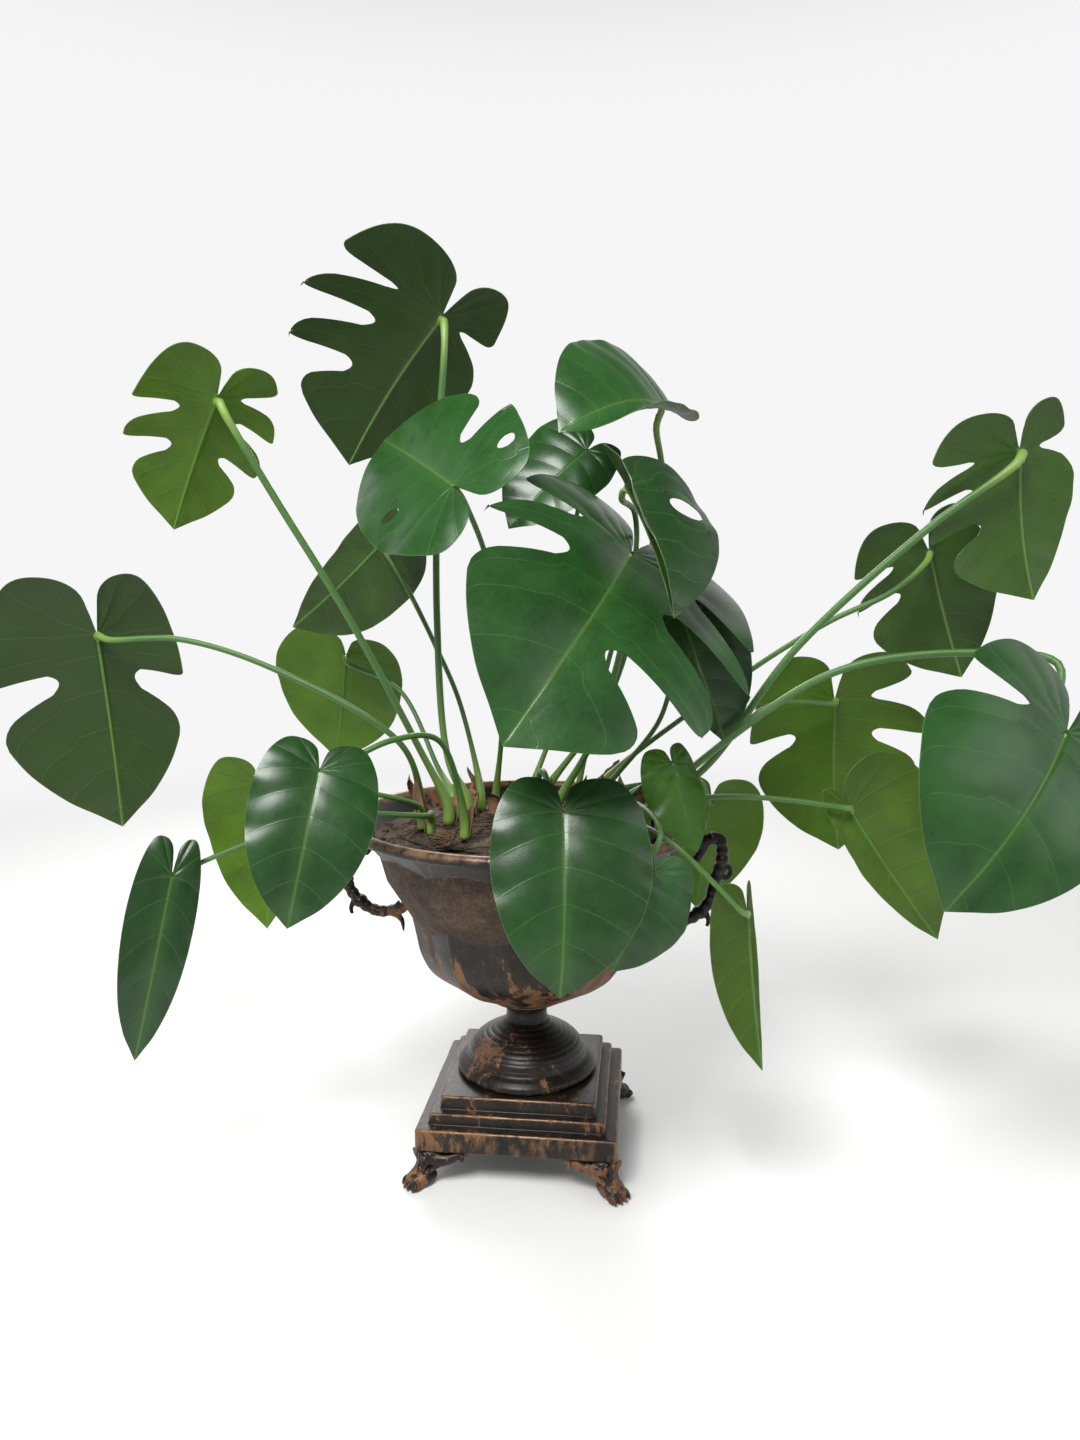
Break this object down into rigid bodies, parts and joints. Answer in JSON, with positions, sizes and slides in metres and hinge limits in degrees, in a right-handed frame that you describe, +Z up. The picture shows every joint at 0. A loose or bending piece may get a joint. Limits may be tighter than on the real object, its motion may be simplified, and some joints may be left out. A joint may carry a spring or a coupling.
{
  "type": "potted monstera plant",
  "caption": "Split-leaf monstera with arching stalks in a footed cast garden urn with branch handles, standing on a plinth with paw feet.",
  "frame": {"origin": "on the floor under the middle of the urn, at the bottom centre of the object's box", "axes": "+Z up, +X along the two handles, +Y towards the back; the plant is turned a few degrees about Z in its urn"},
  "size_m": [1.2574, 0.6226, 1.1204],
  "materials": {
    "bowl_iron": "dark brown patinated iron with copper-brown rub-through on panel edges and rim",
    "base_iron": "near-black patinated iron, copper-brown where worn along rings and step edges",
    "handle_iron": "dark branch casting with worn high spots",
    "steel": "plain zinc grey, hidden inside",
    "soil": "crumbly dark potting soil with coir fibre",
    "crown": "fibrous brown roots and papery husks",
    "leaf_green": "glossy waxy deep green with pale midrib and veins",
    "leaf_pale": "lighter yellow-green, seen mostly from beneath",
    "stalk_green": "smooth satin green stalk, paler near the blade"
  },
  "bodies": {
    "root": {"crown": "crown", "handle_left": "handle_iron", "handle_right": "handle_iron", "leaf_blade_01": "leaf_green", "leaf_blade_02": "leaf_pale", "leaf_blade_03": "leaf_green", "leaf_blade_04": "leaf_green", "leaf_blade_05": "leaf_pale", "leaf_blade_06": "leaf_green", "leaf_blade_07": "leaf_green", "leaf_blade_08": "leaf_pale", "leaf_blade_09": "leaf_green", "leaf_blade_10": "leaf_green", "leaf_blade_11": "leaf_green", "leaf_blade_12": "leaf_green", "leaf_blade_13": "leaf_green", "leaf_blade_14": "leaf_green", "leaf_blade_16": "leaf_green", "leaf_blade_17": "leaf_green", "leaf_blade_18": "leaf_pale", "leaf_blade_19": "leaf_pale", "leaf_blade_21": "leaf_pale", "leaf_blade_22": "leaf_pale", "leaf_blade_23": "leaf_green", "leaf_blade_24": "leaf_green", "leaf_blade_25": "leaf_pale", "leaf_blade_26": "leaf_green", "leaf_stalk_01": "stalk_green", "leaf_stalk_02": "stalk_green", "leaf_stalk_03": "stalk_green", "leaf_stalk_04": "stalk_green", "leaf_stalk_05": "stalk_green", "leaf_stalk_06": "stalk_green", "leaf_stalk_07": "stalk_green", "leaf_stalk_08": "stalk_green", "leaf_stalk_09": "stalk_green", "leaf_stalk_10": "stalk_green", "leaf_stalk_11": "stalk_green", "leaf_stalk_12": "stalk_green", "leaf_stalk_13": "stalk_green", "leaf_stalk_14": "stalk_green", "leaf_stalk_16": "stalk_green", "leaf_stalk_17": "stalk_green", "leaf_stalk_18": "stalk_green", "leaf_stalk_19": "stalk_green", "leaf_stalk_21": "stalk_green", "leaf_stalk_22": "stalk_green", "leaf_stalk_23": "stalk_green", "leaf_stalk_24": "stalk_green", "leaf_stalk_25": "stalk_green", "leaf_stalk_26": "stalk_green", "paw_foot_back_left": "base_iron", "paw_foot_back_right": "base_iron", "paw_foot_front_left": "base_iron", "paw_foot_front_right": "base_iron", "soil": "soil", "tie_rod": "steel", "urn_bowl": "bowl_iron", "urn_pedestal": "base_iron", "urn_plinth": "base_iron"}
  },
  "joints": []
}
